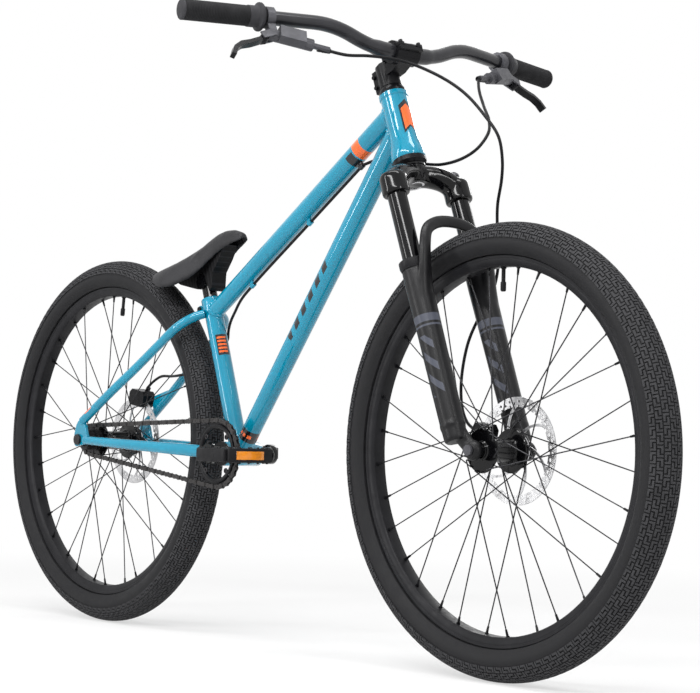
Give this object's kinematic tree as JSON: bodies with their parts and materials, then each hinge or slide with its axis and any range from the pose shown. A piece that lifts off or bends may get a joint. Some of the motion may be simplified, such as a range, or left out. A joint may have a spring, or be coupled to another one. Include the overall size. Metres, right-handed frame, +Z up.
{
  "type": "dirt jump bike",
  "caption": "Hardtail dirt jump bicycle with low sloping frame, short suspension fork, single gear, disc brakes, riser bar and low pitched saddle.",
  "frame": {"origin": "on the ground midway between the two wheel axles, in the bike's middle plane", "axes": "+X forward, +Y to the rider's left, +Z up"},
  "size_m": [1.7014, 0.7678, 0.9973],
  "materials": {
    "frame_paint": "gloss",
    "gloss_black": "gloss",
    "cast_alloy": "satin",
    "black_alloy": "satin",
    "magnesium": "matte",
    "dark_steel": "satin",
    "spoke_steel": "satin",
    "rotor_steel": "satin",
    "bright_steel": "polished",
    "tyre": "matte",
    "tube_rubber": "matte",
    "grip_rubber": "matte",
    "hose_plastic": "satin",
    "pedal_plastic": "satin",
    "saddle_plastic": "satin",
    "saddle_cover": "matte"
  },
  "bodies": {
    "frame": {"head_tube": "frame_paint", "top_tube": "frame_paint", "down_tube": "frame_paint", "seat_tube": "frame_paint", "bottom_bracket_shell": "frame_paint", "chainstay_right": "frame_paint", "chainstay_left": "frame_paint", "seatstay_right": "frame_paint", "seatstay_left": "frame_paint", "seat_clamp_bolt": "black_alloy", "rear_axle": "dark_steel", "rear_caliper": "black_alloy", "rear_brake_hose": "hose_plastic", "headset_cup_upper": "black_alloy", "headset_cup_lower": "black_alloy", "bottom_bracket": "black_alloy", "chain": "dark_steel"},
    "post": {"seatpost": "gloss_black"},
    "saddle": {"saddle_base": "saddle_plastic", "saddle_cover": "saddle_cover"},
    "steering": {"fork_upper": "gloss_black", "stem": "black_alloy", "stem_faceplate": "black_alloy", "handlebar": "black_alloy", "grip_right": "grip_rubber", "grip_left": "grip_rubber", "brake_master_right": "cast_alloy", "brake_master_left": "cast_alloy", "headset_top_cap": "black_alloy", "rear_hose_loop": "hose_plastic", "front_brake_hose": "hose_plastic"},
    "adjuster": {"preload_knob": "cast_alloy"},
    "lever_right": {"brake_lever_right": "black_alloy"},
    "lever_left": {"brake_lever_left": "black_alloy"},
    "sliders": {"fork_lowers": "magnesium", "front_caliper": "black_alloy", "front_axle": "dark_steel"},
    "front_wheel": {"front_hub": "gloss_black", "front_rim": "black_alloy", "front_tyre": "tyre", "front_spokes_right": "spoke_steel", "front_spokes_left": "spoke_steel", "front_rotor": "rotor_steel", "front_inner_tube": "tube_rubber"},
    "rear_wheel": {"rear_hub": "gloss_black", "rear_rim": "black_alloy", "rear_tyre": "tyre", "rear_spokes_right": "spoke_steel", "rear_spokes_left": "spoke_steel", "rear_rotor": "rotor_steel", "rear_inner_tube": "tube_rubber"},
    "cranks": {"crank_arm_right": "gloss_black", "crank_arm_left": "gloss_black", "chainring": "black_alloy", "crank_spindle": "bright_steel", "pedal_axle_right": "dark_steel", "pedal_axle_left": "dark_steel"},
    "freewheel": {"rear_cog": "dark_steel"},
    "platform_right": {"pedal_right": "pedal_plastic"},
    "platform_left": {"pedal_left": "pedal_plastic"}
  },
  "joints": [
    {"name": "post_slide", "type": "slide", "parent": "frame", "child": "post", "axis": [-0.3338, 0, 0.9426], "range_m": [0, 0.09]},
    {"name": "saddle_tilt", "type": "hinge", "parent": "post", "child": "saddle", "pos_m": [-0.2227, 0, 0.6173], "axis": [0, 1, 0], "range_deg": [-1, 9]},
    {"name": "steer", "type": "hinge", "parent": "frame", "child": "steering", "pos_m": [0.2626, 0, 0.8891], "axis": [-0.3584, 0, 0.9336], "range_deg": [-75, 75], "deforming": ["rear_hose_loop"]},
    {"name": "adjuster_turn", "type": "hinge", "parent": "steering", "child": "adjuster", "pos_m": [0.33696, 0.065, 0.75483], "axis": [-0.3584, 0, 0.9336], "range_deg": [0, 90]},
    {"name": "lever_right_pull", "type": "hinge", "parent": "steering", "child": "lever_right", "pos_m": [0.2681, -0.2609, 0.93893], "axis": [-0.8426, 0.1834, -0.5063], "range_deg": [0, 13], "stiffness_Nm_per_rad": 0.8, "springref_deg": -5.73},
    {"name": "lever_left_pull", "type": "hinge", "parent": "steering", "child": "lever_left", "pos_m": [0.2681, 0.2609, 0.93893], "axis": [0.8426, 0.1834, 0.5063], "range_deg": [0, 13], "stiffness_Nm_per_rad": 0.8, "springref_deg": -5.73},
    {"name": "fork_travel", "type": "slide", "parent": "steering", "child": "sliders", "axis": [-0.3584, 0, 0.9336], "range_m": [0, 0.1], "stiffness_N_per_m": 6000, "springref_m": -0.01, "deforming": ["front_brake_hose"]},
    {"name": "front_wheel_spin", "type": "hinge", "parent": "sliders", "child": "front_wheel", "pos_m": [0.5175, 0, 0.335], "axis": [0, 1, 0], "continuous": true},
    {"name": "rear_wheel_spin", "type": "hinge", "parent": "frame", "child": "rear_wheel", "pos_m": [-0.5175, 0, 0.335], "axis": [0, 1, 0], "continuous": true},
    {"name": "crank_spin", "type": "hinge", "parent": "frame", "child": "cranks", "pos_m": [-0.1165, 0, 0.3175], "axis": [0, 1, 0], "continuous": true},
    {"name": "freewheel_spin", "type": "hinge", "parent": "frame", "child": "freewheel", "pos_m": [-0.5175, 0, 0.335], "axis": [0, 1, 0], "continuous": true},
    {"name": "platform_right_spin", "type": "hinge", "parent": "cranks", "child": "platform_right", "pos_m": [0.0535, -0.137, 0.3175], "axis": [0, 1, 0], "continuous": true},
    {"name": "platform_left_spin", "type": "hinge", "parent": "cranks", "child": "platform_left", "pos_m": [-0.2865, 0.137, 0.3175], "axis": [0, 1, 0], "continuous": true}
  ],
  "couplings": [
    {"joint": "freewheel_spin", "follows": "crank_spin", "ratio": 2.1538}
  ]
}
